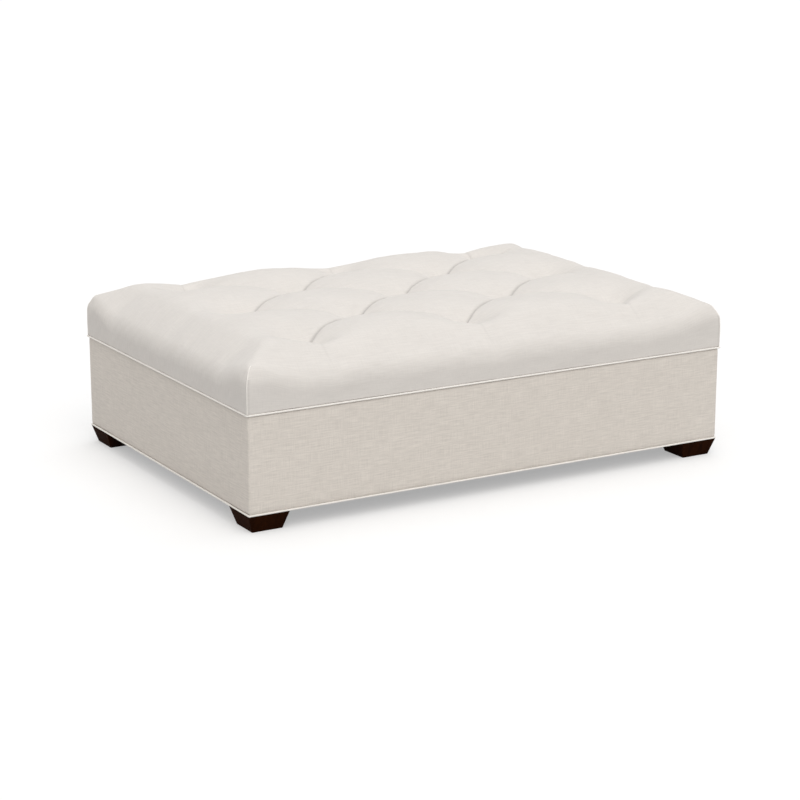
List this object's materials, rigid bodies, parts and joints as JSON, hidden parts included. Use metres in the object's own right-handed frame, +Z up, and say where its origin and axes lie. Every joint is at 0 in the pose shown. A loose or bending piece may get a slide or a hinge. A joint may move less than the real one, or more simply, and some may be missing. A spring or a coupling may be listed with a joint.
{
  "type": "ottoman coffee table",
  "caption": "Rectangular upholstered ottoman coffee table with a diamond-tufted lift-up lid over a storage box, piped edges and dark tapered block feet.",
  "frame": {"origin": "centre of the footprint on the floor", "axes": "+Z up, +X along the long side to the right seen from the front, -Y towards the front; the lid is hinged along the +Y side"},
  "size_m": [1.32, 0.918, 0.43],
  "materials": {
    "upholstery": "matte",
    "welt_fabric": "matte",
    "foot_wood": "satin",
    "board": "matte",
    "plywood": "matte",
    "lining_cloth": "matte",
    "dust_cloth": "matte",
    "foam": "matte",
    "batting": "matte",
    "twine": "matte",
    "zinc_steel": "satin",
    "black_steel": "satin",
    "rod_chrome": "polished"
  },
  "bodies": {
    "base": {"front_panel": "board", "back_panel": "board", "left_panel": "board", "right_panel": "board", "floor_panel": "plywood", "floor_cleats": "board", "floor_bearers": "board", "corner_blocks": "board", "foot_front_left": "foot_wood", "foot_front_right": "foot_wood", "foot_back_left": "foot_wood", "foot_back_right": "foot_wood", "foot_bolts": "zinc_steel", "foot_nuts": "zinc_steel", "cover_front": "upholstery", "cover_back": "upholstery", "cover_left": "upholstery", "cover_right": "upholstery", "base_welt": "welt_fabric", "lining_front": "lining_cloth", "lining_back": "lining_cloth", "lining_left": "lining_cloth", "lining_right": "lining_cloth", "lining_floor": "lining_cloth", "dust_cover": "dust_cloth", "hinge_base_leaf_left": "zinc_steel", "hinge_base_leaf_right": "zinc_steel", "hinge_pins": "zinc_steel", "hinge_base_screws": "zinc_steel", "strut_wall_brackets": "black_steel", "strut_wall_screws": "zinc_steel"},
    "lid": {"lid_deck": "plywood", "foam_core": "foam", "soft_fill": "batting", "tufted_cover": "upholstery", "lid_welt": "welt_fabric", "lid_lining": "lining_cloth", "tuft_twines": "twine", "tuft_washers": "zinc_steel", "hinge_lid_leaf_left": "zinc_steel", "hinge_lid_leaf_right": "zinc_steel", "hinge_lid_screws": "zinc_steel", "strut_lid_brackets": "black_steel", "strut_lid_screws": "zinc_steel"},
    "left_strut_cylinder": {"strut_tube_left": "black_steel"},
    "left_strut_plunger": {"strut_rod_left": "rod_chrome"},
    "right_strut_cylinder": {"strut_tube_right": "black_steel"},
    "right_strut_plunger": {"strut_rod_right": "rod_chrome"}
  },
  "joints": [
    {"name": "lid_hinge", "type": "hinge", "parent": "base", "child": "lid", "pos_m": [0, 0.4567, 0.273], "axis": [-1, 0, 0], "range_deg": [0, 75]},
    {"name": "left_strut_pivot", "type": "hinge", "parent": "base", "child": "left_strut_cylinder", "pos_m": [-0.614, 0.4127, 0.123], "axis": [-1, 0, 0], "range_deg": [0, 23.5]},
    {"name": "left_strut_slide", "type": "slide", "parent": "left_strut_cylinder", "child": "left_strut_plunger", "axis": [0, -0.3807, 0.9247], "range_m": [0, 0.096]},
    {"name": "right_strut_pivot", "type": "hinge", "parent": "base", "child": "right_strut_cylinder", "pos_m": [0.614, 0.4127, 0.123], "axis": [-1, 0, 0], "range_deg": [0, 23.5]},
    {"name": "right_strut_slide", "type": "slide", "parent": "right_strut_cylinder", "child": "right_strut_plunger", "axis": [0, -0.3807, 0.9247], "range_m": [0, 0.096]}
  ],
  "couplings": [
    {"joint": "left_strut_pivot", "follows": "lid_hinge", "ratio": 0.31285},
    {"joint": "left_strut_slide", "follows": "lid_hinge", "m_per_rad": 0.073288},
    {"joint": "right_strut_pivot", "follows": "lid_hinge", "ratio": 0.31285},
    {"joint": "right_strut_slide", "follows": "lid_hinge", "m_per_rad": 0.073288}
  ]
}
